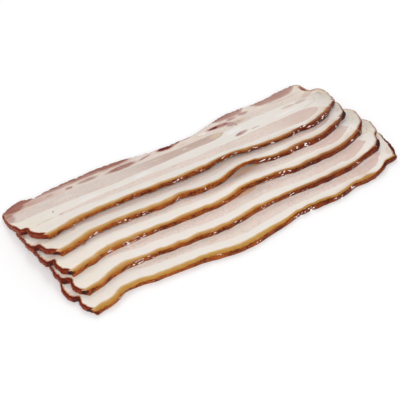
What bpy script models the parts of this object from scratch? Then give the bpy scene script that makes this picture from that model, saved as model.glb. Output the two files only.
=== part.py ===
"""Five shingled rashers of smoked streaky bacon with the rind on.

The rashers lie along X with their rind edges towards -Y. Each one rests on the
floor at its far edge and climbs over the two rashers in front of it. Sizes are
in millimetres and become metres when a mesh is made.
"""

import math

import bpy
import numpy as np

MM = 0.001

# The cut of meat
THICKNESS = 3.7
CLEARANCE = 0.45
RIND_BULGE = 0.35

# Mesh density: columns along a rasher, rows across it
COLUMNS = 46
CORNER_ROWS = 1
SMALL_LOBE_ROWS = 4
LARGE_LOBE_ROWS = 7
ROWS = CORNER_ROWS + SMALL_LOBE_ROWS + LARGE_LOBE_ROWS

# The piece was moulded by its rind: every slice repeats this edge, (x, y)
RIND_LINE = [
    (-101, 14.0), (-88, 16.2), (-73, 18.2), (-57, 17.2), (-40, 15.2), (-20, 12.8),
    (-3, 11.2), (15, 10.6), (38, 11.4), (62, 8.8), (90, 6.9), (108, 7.0), (119, 8.2),
]

# The lean far edge of the top slice, (x, y)
FAR_LINE = [
    (-114.8, 60.6), (-108, 63.2), (-100, 65.4), (-92, 62.6), (-83, 64.0), (-66, 64.2),
    (-45, 64.0), (-25, 61.8), (-8, 57.8), (4, 56.4), (18, 55.2), (33, 55.2),
    (50, 58.4), (67, 61.0), (86, 59.6), (102, 58.8), (118, 60.4), (132.4, 60.2),
]

# The right end: up the slant where the rind stops, round the lobe of fat, and
# on the top slice a step up to the lean corner
END_SLANT = [(136.0, 19.0), (141.0, 23.6), (147.0, 33.0)]
END_LOBE = [(149.2, 38.6), (147.2, 43.4), (143.2, 46.0), (139.6, 46.8)]
END_STEP = [(137.0, 50.6), (137.3, 55.6), (135.4, 58.6)]

# Left end, measured from the corner where the rind starts
CORNER_CHAMFER = (-2.1, 3.2)
SMALL_LOBE_BULGE = 2.0

# The end lobe of a narrower slice keeps back by this share of the narrowing
LOBE_NARROWING = 0.3

# The far edge of the lower slices runs down to their end lobe: x, and the
# height left above the top of that lobe
LOWER_FAR_END = [(118.0, 4.5), (130.0, 2.0)]

# Grid on which the slices are laid over each other
FIELD_START = (-132.0, -75.0)
FIELD_CELL = 1.5
FIELD_CELLS = (192, 100)
SUPPORT_MARGIN_CELLS = 2
DRAPE_ROUNDS = 400
DRAPE_PULL = 0.012
SOFTENING_ROUNDS = 2
LIFT_DEPTH = 17.0

EDGE_ROUGHNESS = 0.35

# From the top slice down. shift moves the rind line in Y, width is the span
# from rind to far edge at mid length, corner is where the rind starts, notch is
# the cleft in the left end and lobe the reach of the large lobe beyond it, both
# measured from the corner or the notch. tip is where the rind stops at the right,
# and slant moves and stretches the right end in X. Each wave or lift is
# (x, height, half width).
RASHERS = [
    dict(name="rasher_1", shift=-0.6, width=46.5, corner_x=-101.7, notch=(-7.7, 17.4),
         lobe=(-5.6, 3.2), tip=(126.3, 12.1), slant=(-0.6, 0.93),
         waves=[(-100, 1.0, 12), (-30, -1.7, 42), (46, -3.4, 16), (68, -2.4, 12),
                (101, -5.6, 25), (121, 2.8, 9)],
         lifts=[], seed=11),
    dict(name="rasher_2", shift=-16.7, width=42.0, corner_x=-101.5, notch=(-7.2, 17.8),
         lobe=(-5.4, 2.5), tip=(125.2, 13.4), slant=(-5.0, 0.96),
         waves=[(-98, 1.0, 12), (-54, -0.8, 16), (-18, 1.4, 9), (35, 0.8, 12),
                (88, -1.2, 28), (122, 4.0, 10)],
         lifts=[(36, 3.4, 12)], seed=12),
    dict(name="rasher_3", shift=-30.2, width=40.5, corner_x=-102.2, notch=(-5.2, 15.6),
         lobe=(-4.2, 2.1), tip=(127.5, 10.8), slant=(0.0, 0.92),
         waves=[(88, -1.1, 30)], lifts=[(33, 2.2, 14)], seed=13),
    dict(name="rasher_4", shift=-45.4, width=39.0, corner_x=-100.3, notch=(-5.0, 15.1),
         lobe=(-3.4, 2.3), tip=(129.2, 9.0), slant=(1.4, 0.9),
         waves=[(-80, 1.3, 14), (-48, 0.8, 12), (-2, -0.8, 16), (88, -1.6, 28)],
         lifts=[(40, 0.8, 16)], seed=14),
    dict(name="rasher_5", shift=-60.6, width=38.0, corner_x=-102.4, notch=(-3.4, 15.0),
         lobe=(-3.4, 2.5), tip=(137.4, 13.0), slant=(3.1, 0.5),
         waves=[(-100, 4.4, 14), (-90, -1.4, 6), (-74, 4.4, 14), (-50, 1.0, 14),
                (0, -3.0, 17), (27, -1.6, 12), (97, 2.3, 12), (127, 1.4, 7)],
         lifts=[], seed=15),
]

# Colours of the plain solids
LEAN_AND_FAT = (0.80, 0.66, 0.60, 1.0)
MEAT_ROUGHNESS = 0.45


def clear_scene():
    for item in list(bpy.data.objects):
        bpy.data.objects.remove(item, do_unlink=True)


def resample(points, count):
    """A smooth curve through the points, as count + 1 evenly spaced points."""
    points = np.array(points, dtype=float)
    fine = []
    padded = np.vstack([2 * points[0] - points[1], points, 2 * points[-1] - points[-2]])
    steps = np.linspace(0.0, 1.0, 16, endpoint=False)[:, None]
    for a, b, c, d in zip(padded, padded[1:], padded[2:], padded[3:]):
        fine.append(0.5 * (2 * b + (c - a) * steps + (2 * a - 5 * b + 4 * c - d) * steps ** 2
                           + (3 * b - a - 3 * c + d) * steps ** 3))
    fine = np.vstack(fine + [points[-1:]])
    length = np.concatenate([[0.0], np.cumsum(np.linalg.norm(np.diff(fine, axis=0), axis=1))])
    wanted = np.linspace(0.0, length[-1], count + 1)
    return np.column_stack([np.interp(wanted, length, fine[:, axis]) for axis in (0, 1)])


def lobe(start, end, bulge, lean, count):
    """Points of a rounded lobe from start to end, fullest near start when lean is small."""
    start = np.array(start, dtype=float)
    end = np.array(end, dtype=float)
    share = np.linspace(0.0, 1.0, count + 1)[:, None]
    along = end - start
    outward = np.array([-along[1], along[0]]) / np.linalg.norm(along)
    fullness = np.sin(math.pi * share ** lean).clip(0.0) ** 0.6
    return start + along * share + outward * bulge * fullness


def bump_sum(x, bumps):
    return sum(height * np.exp(-((x - centre) / half) ** 2) for centre, height, half in bumps)


def rind_edge(rasher):
    """The rind edge from the left corner to the tip at the right."""
    line = np.array(RIND_LINE, dtype=float)
    line[0, 0] = rasher["corner_x"]
    line = resample(np.vstack([line, rasher["tip"]]), 4 * COLUMNS)
    line[:, 1] += rasher["shift"] + bump_sum(line[:, 0], rasher["waves"])
    return resample(line, COLUMNS)


def outline(rasher):
    """The four edges of a slice: rind, far edge, left end and right end."""
    is_top = rasher is RASHERS[0]
    narrowing = RASHERS[0]["width"] - rasher["width"]
    move = np.array([0.0, rasher["shift"] - RASHERS[0]["shift"]])
    rind = rind_edge(rasher)
    notch = rind[0] + rasher["notch"]
    reach, bulge = rasher["lobe"]
    far_line = np.array(FAR_LINE, dtype=float) + move
    far_line[:, 1] -= narrowing
    far_line[0, 0] = notch[0] + reach
    lobe_points = np.array(END_LOBE if is_top else END_LOBE[:-1])
    lobe_points[:, 1] -= LOBE_NARROWING * narrowing
    right_line = np.vstack([END_SLANT, lobe_points]) + move
    if not is_top:
        far_line[-2:] = np.array(LOWER_FAR_END) + [0.0, right_line[-1, 1]]
    slant, stretch = rasher["slant"]
    right_line[:, 0] = END_SLANT[0][0] + slant + stretch * (right_line[:, 0] - END_SLANT[0][0])
    if is_top:
        right_line = np.vstack([right_line, END_STEP])
    small = lobe(notch, rind[0] + CORNER_CHAMFER, -SMALL_LOBE_BULGE, 1.0, SMALL_LOBE_ROWS)
    large = lobe(notch, far_line[0], bulge, 0.5, LARGE_LOBE_ROWS)
    left = np.vstack([rind[0], small[::-1], large[1:]])
    right = resample(np.vstack([rind[-1], right_line, far_line[-1]]), ROWS)
    return rind, resample(far_line, COLUMNS), left, right


def roughen(edges, seed):
    """Small uneven bites along the cut edges, none at the four corners."""
    rng = np.random.default_rng(seed)
    rough = []
    for edge in edges:
        step = rng.uniform(-EDGE_ROUGHNESS, EDGE_ROUGHNESS, size=edge.shape)
        step[0] = 0.0
        step[-1] = 0.0
        rough.append(edge + step)
    return rough


def fill_grid(rind, far, left, right):
    """Rows and columns between the four edges, blended from all of them."""
    s = np.linspace(0.0, 1.0, COLUMNS + 1)[:, None, None]
    r = np.linspace(0.0, 1.0, ROWS + 1)[None, :, None]
    across = (1 - r) * rind[:, None, :] + r * far[:, None, :]
    along = (1 - s) * left[None, :, :] + s * right[None, :, :]
    corners = ((1 - s) * (1 - r) * rind[0] + s * (1 - r) * rind[-1]
               + (1 - s) * r * far[0] + s * r * far[-1])
    return across + along - corners


def field_points():
    xs = FIELD_START[0] + FIELD_CELL * np.arange(FIELD_CELLS[0])
    ys = FIELD_START[1] + FIELD_CELL * np.arange(FIELD_CELLS[1])
    return np.meshgrid(xs, ys, indexing="ij")


def covered(polygon, gx, gy):
    """Which grid points lie inside a polygon."""
    inside = np.zeros(gx.shape, dtype=bool)
    for (x1, y1), (x2, y2) in zip(polygon, np.roll(polygon, -1, axis=0)):
        if y1 == y2:
            continue
        crosses = (gy < y1) != (gy < y2)
        inside ^= crosses & (gx < (x2 - x1) * (gy - y1) / (y2 - y1) + x1)
    return inside


def neighbours(field):
    p = np.pad(field, 1, mode="edge")
    return [p[:-2, 1:-1], p[2:, 1:-1], p[1:-1, :-2], p[1:-1, 2:]]


def soften(field):
    return (sum(neighbours(field)) + 2 * field) / 6


def drape(support):
    """Lay a limp sheet on a support, clear of its edges by the margin."""
    for _ in range(SUPPORT_MARGIN_CELLS):
        support = np.maximum.reduce([support] + neighbours(support))
    sheet = support
    for _ in range(DRAPE_ROUNDS):
        sheet = np.maximum(support, soften(sheet) - DRAPE_PULL)
    for _ in range(SOFTENING_ROUNDS):
        sheet = soften(sheet)
    return sheet


def sample(field, points):
    """Heights of a field at (x, y) points, by bilinear interpolation."""
    place = (points - FIELD_START) / FIELD_CELL
    low = np.floor(place).astype(int)
    fx = place[..., 0] - low[..., 0]
    fy = place[..., 1] - low[..., 1]
    i = low[..., 0]
    j = low[..., 1]
    return (field[i, j] * (1 - fx) * (1 - fy) + field[i + 1, j] * fx * (1 - fy)
            + field[i, j + 1] * (1 - fx) * fy + field[i + 1, j + 1] * fx * fy)


def lay_slices():
    """Outline and underside height field of every slice, bottom one first."""
    gx, gy = field_points()
    support = np.zeros(gx.shape)
    laid = {}
    for rasher in reversed(RASHERS):
        edges = roughen(outline(rasher), rasher["seed"])
        rind, far, left, right = edges
        polygon = np.vstack([rind, right[1:], far[-2::-1], left[-2:0:-1]])
        underside = drape(support)
        edge_y = np.interp(gx, rind[:, 0], rind[:, 1])
        fade = np.exp(-((gy - edge_y) / LIFT_DEPTH) ** 2)
        underside = underside + fade * bump_sum(gx, rasher["lifts"])
        laid[rasher["name"]] = (edges, underside)
        top = np.where(covered(polygon, gx, gy), underside + THICKNESS + CLEARANCE, 0.0)
        support = np.maximum(support, top)
    return laid


def build_solid(name, edges, underside, origin, material):
    """A closed slice: top and bottom grids joined by a rim that bulges a little."""
    plan = fill_grid(*edges)
    low = sample(underside, plan)
    rim = ([(i, 0) for i in range(COLUMNS)] + [(COLUMNS, j) for j in range(ROWS)]
           + [(i, ROWS) for i in range(COLUMNS, 0, -1)] + [(0, j) for j in range(ROWS, 0, -1)])
    loop = np.array([plan[i, j] for i, j in rim])
    tangent = np.roll(loop, -1, axis=0) - np.roll(loop, 1, axis=0)
    tangent /= np.linalg.norm(tangent, axis=1)[:, None]
    outward = np.column_stack([tangent[:, 1], -tangent[:, 0]])
    middle = loop + outward * RIND_BULGE
    middle_low = np.array([low[i, j] for i, j in rim]) + 0.5 * THICKNESS

    count = (COLUMNS + 1) * (ROWS + 1)
    top = np.dstack([plan, low + THICKNESS]).reshape(-1, 3)
    bottom = np.dstack([plan, low]).reshape(-1, 3)
    ring = np.column_stack([middle, middle_low])
    points = (np.vstack([top, bottom, ring]) - [*origin, 0.0]) * MM

    def at(i, j, layer):
        return layer * count + i * (ROWS + 1) + j

    faces = []
    for i in range(COLUMNS):
        for j in range(ROWS):
            square = [(i, j), (i + 1, j), (i + 1, j + 1), (i, j + 1)]
            faces.append([at(a, b, 0) for a, b in square])
            faces.append([at(a, b, 1) for a, b in reversed(square)])
    for n, (i, j) in enumerate(rim):
        m = (n + 1) % len(rim)
        a, b = rim[m]
        faces.append([2 * count + n, 2 * count + m, at(a, b, 0), at(i, j, 0)])
        faces.append([at(i, j, 1), at(a, b, 1), 2 * count + m, 2 * count + n])

    mesh = bpy.data.meshes.new(name)
    mesh.from_pydata(points.tolist(), [], faces)
    mesh.validate()
    mesh.shade_smooth()
    mesh.set_sharp_from_angle(angle=math.radians(40))
    mesh.materials.append(material)
    solid = bpy.data.objects.new(name, mesh)
    bpy.context.scene.collection.objects.link(solid)
    return solid


def meat_material(name):
    material = bpy.data.materials.new(name)
    material.use_nodes = True
    shader = material.node_tree.nodes["Principled BSDF"]
    shader.inputs["Base Color"].default_value = LEAN_AND_FAT
    shader.inputs["Roughness"].default_value = MEAT_ROUGHNESS
    shader.inputs["Metallic"].default_value = 0.0
    return material


def plan_centre(laid):
    """The middle of the whole stack in X and Y, rims included."""
    everything = np.vstack([edge for edges, _ in laid.values() for edge in edges])
    return 0.5 * (everything.min(axis=0) + everything.max(axis=0))


def main():
    clear_scene()
    laid = lay_slices()
    origin = plan_centre(laid)
    for rasher in RASHERS:
        edges, underside = laid[rasher["name"]]
        material = meat_material(rasher["name"] + "_meat")
        build_solid(rasher["name"], edges, underside, origin, material)


main()
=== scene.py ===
"""Looks of five fanned slices of smoked streaky bacon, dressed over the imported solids.

Lengths in the constants are millimetres, and those of the studio are metres. The layers
of fat and lean were laid down in one piece of belly, so every slice takes them from the
same set of curves, which are drawn in the plan of the top slice. "Rise" is the distance
from the rind edge towards the far edge; it is below zero on the rind's outer side.
"""

import math

import bmesh
import bpy
import numpy as np
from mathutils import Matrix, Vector
from mathutils.bvhtree import BVHTree
from mathutils.kdtree import KDTree


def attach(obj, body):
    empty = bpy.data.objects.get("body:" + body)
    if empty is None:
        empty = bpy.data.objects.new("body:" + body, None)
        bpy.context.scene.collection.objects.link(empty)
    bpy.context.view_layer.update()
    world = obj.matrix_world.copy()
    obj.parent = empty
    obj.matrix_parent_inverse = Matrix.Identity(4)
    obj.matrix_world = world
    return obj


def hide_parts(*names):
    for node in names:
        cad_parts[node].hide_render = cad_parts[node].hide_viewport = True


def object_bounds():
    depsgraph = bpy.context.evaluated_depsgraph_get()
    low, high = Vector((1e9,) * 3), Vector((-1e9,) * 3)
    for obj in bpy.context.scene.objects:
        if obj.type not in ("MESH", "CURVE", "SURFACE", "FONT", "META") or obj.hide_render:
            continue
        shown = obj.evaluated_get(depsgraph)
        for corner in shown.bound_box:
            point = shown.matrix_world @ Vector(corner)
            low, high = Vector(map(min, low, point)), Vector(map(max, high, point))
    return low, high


MM = 0.001
CM = 10.0
DM = 100.0

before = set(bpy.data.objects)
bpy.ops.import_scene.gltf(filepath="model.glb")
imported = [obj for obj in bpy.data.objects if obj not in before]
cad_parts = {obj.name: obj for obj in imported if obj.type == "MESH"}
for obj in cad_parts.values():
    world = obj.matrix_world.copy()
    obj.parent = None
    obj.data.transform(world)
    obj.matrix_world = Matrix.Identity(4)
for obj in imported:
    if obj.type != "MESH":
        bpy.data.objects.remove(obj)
cad_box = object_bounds()

# Plan of the belly piece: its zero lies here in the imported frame
PLAN_ZERO = np.array([-16.739, -6.193])
NAMES = ["rasher_1", "rasher_2", "rasher_3", "rasher_4", "rasher_5"]
TOP_SLICE = NAMES[0]

# The four sides of a slice, in the order in which its rim is followed
RIND, RIGHT_END, FAR_EDGE, LEFT_END = range(4)

# Corners of each slice in plan: start and end of the rind, far right, far left
CORNERS = {
    "rasher_1": [(-101.7, 14.3), (126.3, 11.4), (132.4, 60.2), (-115.0, 60.6)],
    "rasher_2": [(-101.5, -1.7), (125.2, 0.4), (130.0, 30.6), (-114.1, 40.0)],
    "rasher_3": [(-102.2, -16.2), (127.5, -19.6), (130.0, 16.6), (-111.6, 25.0)],
    "rasher_4": [(-100.3, -31.2), (129.2, -36.7), (130.0, 1.0), (-108.7, 8.3)],
    "rasher_5": [(-102.4, -42.3), (137.4, -47.6), (130.0, -14.5), (-109.2, -8.0)],
}

# The fine mesh: columns along the rind, rows crowded towards it, and rings down the wall
FINE_COLUMNS = 380
FINE_ROWS = 90
ROW_CROWDING = 1.15
ROWS = (np.arange(FINE_ROWS + 1) / FINE_ROWS) ** ROW_CROWDING
WALL_ROWS = 10
SPLINE_STEPS = 12
EVENING_ROUNDS = 150
SOFTENING_ALONG = 24
SOFTENING_ACROSS = 30
SIDE_BLEND = 3
NEIGHBOURS = 3
NOISE_WAVES = 7
# Reading the solids: welding distance, least upward tilt of the cut face at its edge and
# elsewhere, height from which the rays start, and a margin within the box of them all
WELD = 0.02
UPWARD_EDGE = 0.6
UPWARD_FACE = 0.5
ABOVE_ALL = 50.0
BOX_MARGIN = 0.01

# Thickness and relief of a slice, with the size of the lumps and their reach from the rim
THICKNESS = 3.7
EDGE_ROUNDING = 0.35
EDGE_CURVE = 1.5
FACE_RELIEF = 0.07
FACE_LUMPS = 8.0
FACE_STRETCH = 0.6
FACE_REACH = 1.5
RIM_RELIEF = 0.22
RIM_LUMPS = 6.5
RIM_LOWERING = 0.4
RIM_REACH = 2.5
END_CRAGS = 0.45
CRAG_LUMPS = 4.2
CRAG_REACH = 2.0
MORE_CRAGS_AT_FAR_EDGE = 0.8
CRAG_SEED = 10
RIM_SEED = 30
FACE_SEED = 40
WALL_BULGE = 0.2
WALL_FULLNESS = 0.6
WALL_RELIEF = 0.16
WALL_LUMPS = 2.2
WALL_DRIFT = 5.0
RIM_STEP = 0.7
SETTLE_MOST = 0.8
SETTLE_FROM = 0.3
SETTLE_REACH = 5.0
SWELL_CORE = 0.2
SWELL_REACH = 6.0
SAG_REACH = 4.0
# How far the wall is drawn in for each millimetre below the crust, and how far in that is felt
TUCK = 1.1
TUCK_REACH = 5.0
# Seen from the front left, a millimetre down the wall looks this far back in x and in rise
SIDE_OF_WALL = 0.58
CLIMB_OF_WALL = 0.82
# Layers: softness of their borders, width of the far lean, least width of the golden band
BORDER_SOFTNESS = 3.0
FAR_LEAN_WIDTH = 9.0
LEAST_GOLD = 0.5
# Where a slice lies on the next one, painted light lightens the shade under it: reach of that painted light
# in front of its edge and at its ends
PAINTED_FILL_REACH = 2.5
PAINTED_FILL_BEHIND = 1.0
PAINTED_FILL_ENDS = 5.0

# How far the lower side sags onto the slice below along the front edge: (x, how far)
SAG = {
    "rasher_1": [
        (-100, 0.9), (-30, 1.1), (12, 1.1), (26, 1.5), (47, 1.4), (68, 1.3), (96, 1.05), (126, 1.2)],
    "rasher_2": [
        (-100, 0.4), (-70, 0.5), (-51, 0.4), (-30, 0.4), (-9, 0.8), (12, 1.1), (26, 1.7), (40, 1.7),
        (47, 1.2), (54, 0.7), (61, 0.4), (112, 0.4), (124, 0.9)],
    "rasher_3": [(-100, 0.4), (8, 0.45), (19, 0.9), (28, 1.4), (40, 1.4), (47, 1), (56, 0.5), (126, 0.4)],
    "rasher_4": [(-100, 0.4), (14, 0.45), (33, 0.8), (47, 0.8), (60, 0.45), (126, 0.4)],
    "rasher_5": [(0, 0)],
}
# Depth at which the crust of the rind ends and the wall begins to turn under: (x, depth)
CRUST_FOOT = {
    "rasher_1": [
        (-100, 2.8), (-83, 2.5), (-56, 2.5), (-38, 2.8), (-29, 2.8), (-20, 2.2), (-11, 2.1), (-2, 2.5),
        (10, 2.9), (25, 2.6), (34, 2.3), (43, 3), (52, 3.3), (61, 3.3), (75, 3.9), (90, 4.2), (126, 3.7)],
    "rasher_2": [
        (-98, 3.3), (-84, 1.9), (-74, 2.2), (-60, 2.4), (-47, 2.9), (-29, 3.2), (-20, 3.1), (-11, 3.7),
        (12, 3.7), (22, 2.7), (28, 2.1), (34, 2.6), (43, 4.2), (70, 3.3), (126, 3.7)],
    "rasher_3": [
        (-98, 3.8), (-83, 3.7), (-74, 3.1), (-65, 3.6), (15, 3.6), (25, 2.6), (32, 3.4), (40, 3.9),
        (126, 3.7)],
    "rasher_4": [(-98, 3.9), (-83, 3.9), (-74, 3.3), (-65, 3.9), (126, 3.9)],
    "rasher_5": [(0, 4.5)],
}
# How far the foot of the rind stands out beyond its upper edge: (x, how far)
FLARE = {
    "rasher_5": [
        (-104, 0.8), (-96, 0.3), (-90, -0.6), (-80, -0.8), (-72, 0.5), (-64, 0.4), (-50, 0.1), (-34, 0.1),
        (-22, 0.7), (0, 0.5), (14, 0.9), (38, 0.8), (50, 0.5), (62, 0.6), (74, 0.7), (86, 0.6), (92, 0.1),
        (104, 0.7), (110, 0.5), (116, -0.3), (122, -0.4), (134, 0.2)],
}
# Swellings of the crust on the ends: (x, rise, reach, how far)
SWELLINGS = {
    "rasher_1": [(133, 6, 8, 1.4), (146, 34, 9, 1.2)],
    "rasher_2": [(129.5, 3, 7, 1.7), (-112, 22, 11, 1.5)],
    "rasher_3": [(128, 1, 4, 0.8), (136, 8, 7, 0.6), (-111, 22, 11, 1.5)],
    "rasher_4": [(132.5, 4.5, 7, 1.6), (-109.5, 22, 11, 1.8)],
    "rasher_5": [(140, 10, 10, 1.6), (-109, 21, 11, 2.1)],
}
# Rise of the golden band's inner border and of the crust's upper border: (x, gold, crust)
RIM = {
    "rasher_1": [
        (-104, 3, -0.5), (-92, 2.5, -1), (-85, 4, -0.5), (-70, 3, -1.2), (-55, 3, -0.5), (-40, 4, 1.5),
        (-20, 5, 1.2), (0, 5.5, 1.7), (18, 4, 1.4), (27, 3.5, 1.2), (34, 2.2, -0.6), (41, 1.2, -2.2),
        (50, 1.2, -0.8), (60, 0.8, -2), (78, 0.7, -2.4), (90, 1.2, 1.2), (100, 3, 0.4), (107, 5.2, 2.5),
        (114, 5, 1.4), (120, 3.7, -1.2), (127, 3, 0)],
    "rasher_2": [
        (-103, 3.6, 0.4), (-94, 3.5, -0.4), (-83, 5.2, 0), (-73, 4.3, 0.2), (-56, 4.4, 1), (-40, 3.5, 0),
        (-25, 3.5, -0.4), (-12, 4.3, 1.6), (0, 3, 0.7), (14, 2.4, 0.5), (22, 4, 1.8), (29, 2.3, 0.5),
        (36, -0.3, -0.8), (43, 0.5, -1.2), (60, 1.7, -0.2), (70, 3.3, 0.3), (84, 4.2, 1.6), (98, 3.5, 1),
        (110, 4.4, 2), (117, 3.7, 0.8), (125, 0.5, 0.5)],
    "rasher_3": [
        (-103, 3, 0), (-85, 3.2, -0.7), (-70, 3.3, -0.7), (-50, 2.7, 0), (-30, 2.6, 0.5), (-15, 3.8, 0.8),
        (0, 2.8, 0), (12, 3.5, 1), (21, 4.5, 2), (28, 3.5, 1.3), (36, 1.6, -0.4), (45, 2.4, 0.5),
        (53, 3.2, 1.5), (60, 2.4, 0.2), (70, 2.6, 0.4), (80, 3.4, 1.3), (92, 3.6, 1.3), (103, 2.7, 0.3),
        (115, 3.8, 1.3), (126, 4.5, 2)],
    "rasher_4": [
        (-101, 4, 1.8), (-90, 2.3, -0.7), (-76, 4.3, 0), (-60, 2.7, 0.4), (-45, 2, -0.4), (-30, 3, 0.4),
        (-15, 3.4, 0), (0, 3.1, 0.4), (12, 3.6, 0.9), (24, 3.3, 0.9), (32, 1.5, -0.2), (40, 1.2, -0.5),
        (55, 2.2, 0), (70, 3.1, 1), (90, 3.8, 1.7), (105, 3, 1.2), (120, 3.1, 2.6), (130, 4.5, 2.5)],
    "rasher_5": [
        (-104, 2.6, 0), (-95, 4, 0.5), (-85, 5, 1), (-73, 2.3, -1.5), (-62, 2.5, -0.7), (-45, 3, -0.3),
        (-30, 4.3, 1.2), (-10, 4.2, 0.6), (5, 4.4, 0.9), (20, 3.4, 0.4), (35, 2.4, 0.4), (50, 3.1, 1.1),
        (62, 4.2, 2), (75, 2.3, 0.4), (92, 3.5, 1.5), (99, 2.4, 0.5), (105, 3.6, 0.4), (114, 2.5, 2),
        (124, 3.5, 3), (136, 2.6, 1.3)],
}
# Lower border of the lean streak on the four lower slices, as rise, up to its round tip
NEAR_STREAK = {
    "rasher_2": [
        (-92, 17), (-86, 14.8), (-75, 12.6), (-65, 11.5), (-50, 10.5), (-30, 9.4), (0, 9), (15, 9),
        (25, 8.4), (30, 6.9), (35, 4.4), (39, 3.4), (45, 4.3), (51, 5.6), (60, 7), (80, 7.8), (100, 8.2),
        (110, 8.6), (116, 9), (122, 9.6)],
    "rasher_3": [
        (-92, 17), (-87, 13.2), (-80, 11.9), (-70, 11), (-60, 10), (-45, 9.1), (-20, 9.3), (0, 8.5),
        (20, 8), (30, 7.4), (40, 6.5), (50, 7), (60, 7.5), (75, 8.5), (90, 8.1), (98, 7.3), (101, 6.2),
        (106, 6.5), (115, 8), (121, 8.6), (124, 9.2)],
    "rasher_4": [
        (-90, 17), (-85, 12.6), (-70, 10.6), (-55, 8.6), (-40, 9), (-20, 8.5), (14, 8.5), (30, 7.5),
        (50, 6.5), (62, 6.4), (75, 7), (90, 7.5), (98, 7.9), (101, 6.3), (108, 5.8), (115, 7), (122, 7.9),
        (126.5, 8.6)],
    "rasher_5": [
        (-88, 17), (-82, 10.8), (-65, 9.5), (-50, 9), (-30, 9.9), (0, 9.9), (6, 9.1), (20, 8.5), (35, 7.5),
        (50, 7.1), (62, 8), (80, 7.9), (90, 6.6), (99, 5.5), (106, 4.8), (112, 6.4), (120, 7), (126, 7.5),
        (129.5, 8.2)],
}
TIP_ROUNDING = 13.0
TIP_WIDTH = 4.5

# The layers of the lower slices lie this much further right, from none at one x to all at the other
STREAK_SHIFT = {"rasher_1": 0.0, "rasher_2": 2.5, "rasher_3": 5.0, "rasher_4": 7.5, "rasher_5": 10.0}
SHIFT_FROM = 30
SHIFT_TO = 110

# Borders between the layers of the top slice: (x, y)
STREAK_LOW = [
    (-118, 29), (-88, 29.4), (-84, 28.8), (-78, 28.2), (-70, 27.3), (-60, 25.5), (-50, 24.4), (-40, 23.4),
    (-20, 22.4), (0, 21), (15, 20), (30, 17.2), (40, 13.9), (50, 12.4), (60, 11.4), (70, 10.4), (80, 9.4),
    (90, 8), (97, 7.4), (103, 8.6), (110, 11), (114, 13), (117, 15.2), (119.5, 18.4), (135, 22), (152, 26)]
STREAK_TOP = [
    (-118, 29.1), (-88, 29.9), (-84, 31), (-70, 31), (-60, 31.2), (-50, 30.6), (-40, 29.8), (-20, 29.4),
    (0, 28.6), (15, 27.4), (30, 26.4), (40, 25), (50, 24), (60, 23.4), (80, 23), (100, 23.3), (110, 23),
    (115, 21.8), (118, 20.2), (119.5, 18.6), (135, 22.2), (152, 26.2)]
BAND_LOW = [
    (-118, 49), (-113.5, 47.5), (-111, 43.6), (-107, 42.7), (-92, 42.3), (-85, 41.2), (-75, 40.5),
    (-65, 38.8), (-57, 38), (-50, 37), (-40, 36.4), (-30, 36.8), (0, 37.6), (10, 38), (25, 37.6),
    (38, 36.2), (45, 37.2), (49.5, 40.4), (90, 41), (152, 40)]
BAND_TOP = [
    (-118, 51), (-113, 54), (-100, 55.5), (-90, 54.8), (-80, 53.6), (-60, 52.4), (-50, 51), (-40, 49.6),
    (-20, 49), (-5, 48.6), (10, 47.6), (30, 47), (40, 46.2), (46, 44), (49.5, 40.9), (90, 41.4),
    (152, 40.4)]
FAR_LEAN = [
    (-118, 57), (-110, 56.5), (-104, 56), (-99, 60), (-90, 60.4), (-75, 59.4), (-60, 58.9), (-40, 58.2),
    (-22, 57.4), (-16, 60.5), (-5, 64), (44, 64), (51, 57.5), (56, 55.2), (66, 54.4), (76, 55), (81, 58.5),
    (85, 62), (88, 57), (94, 53), (104, 51.8), (115, 51.8), (122, 52.6), (127, 54.6), (131, 57.5),
    (136, 62), (152, 64)]

# Patches on the top slice: (x, y, half length, half width, turn in degrees, strength)
MAUVE_PATCHES = [
    (-106.5, 59.2, 7.5, 3.3, 0, 1), (-112.6, 53, 4, 8, 4, 0.58), (-54, 56.2, 9.5, 2.6, -3, 0.65),
    (-29, 53.4, 14, 3.2, 0, 0.85), (-98, 63, 6, 2.6, 0, 1.3), (-30, 60.5, 14, 2.2, 0, 1.2),
    (54, 50.6, 10, 3, -6, 0.6), (9, 54.4, 10, 3.4, 0, 0.9), (57, 28.4, 7, 2.4, 8, 0.5),
    (-10, 53.6, 8, 1.3, 10, 0.62), (66, 53, 6, 2.2, 0, 0.6), (77, 53.4, 6, 2.4, 0, 0.6),
    (-82, 57.5, 3.4, 1.1, 0, 0.62), (135.2, 51.5, 2.2, 5, 12, 1.1), (-31, 57.4, 20, 1.3, 0, 0.45),
    (22, 55, 9, 1.3, 0, 0.6)]
RED_PATCHES = [
    (-68, 56.2, 3, 1.5, 0, 0.8), (7.8, 54.4, 6, 2.4, 0, 2.4), (17, 54.6, 4.2, 1.3, 0, 0.8),
    (26, 54.6, 5, 1.2, 0, 0.7), (50.5, 51.3, 8.5, 1.9, -6, 0.95), (57, 50, 4.4, 1.8, 20, 0.85),
    (62.3, 42.3, 2, 0.8, 62, 0.85), (55.5, 28.4, 5.4, 1.9, 8, 0.85), (68, 27.2, 5, 1, 0, 0.4),
    (134.5, 51, 1.3, 3.2, 10, 0.85), (-115, 60.2, 1.6, 1.2, 0, 0.8)]
PEACH_PATCHES = [
    (106, 35.8, 8, 2.4, 0, 0.8), (119, 36.6, 8.5, 3, 14, 0.85), (132, 43.6, 9, 3.4, 20, 0.7),
    (-3, 27.2, 1.5, 1.4, 0, 0.8), (-86, 29.8, 2, 1.5, 0, 0.75), (118.8, 15.4, 2, 0.7, 40, 0.45),
    (115, 49.5, 16, 1.6, 0, 0.6), (-66, 60.8, 5, 1, 0, 0.8), (66, 45.5, 10, 4.5, 0, 0.7),
    (-106, 53.5, 9, 2, 0, 0.5), (-88, 46, 5, 2.2, 0, 0.4), (-58, 40, 9, 1.8, -6, 0.55)]
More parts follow.
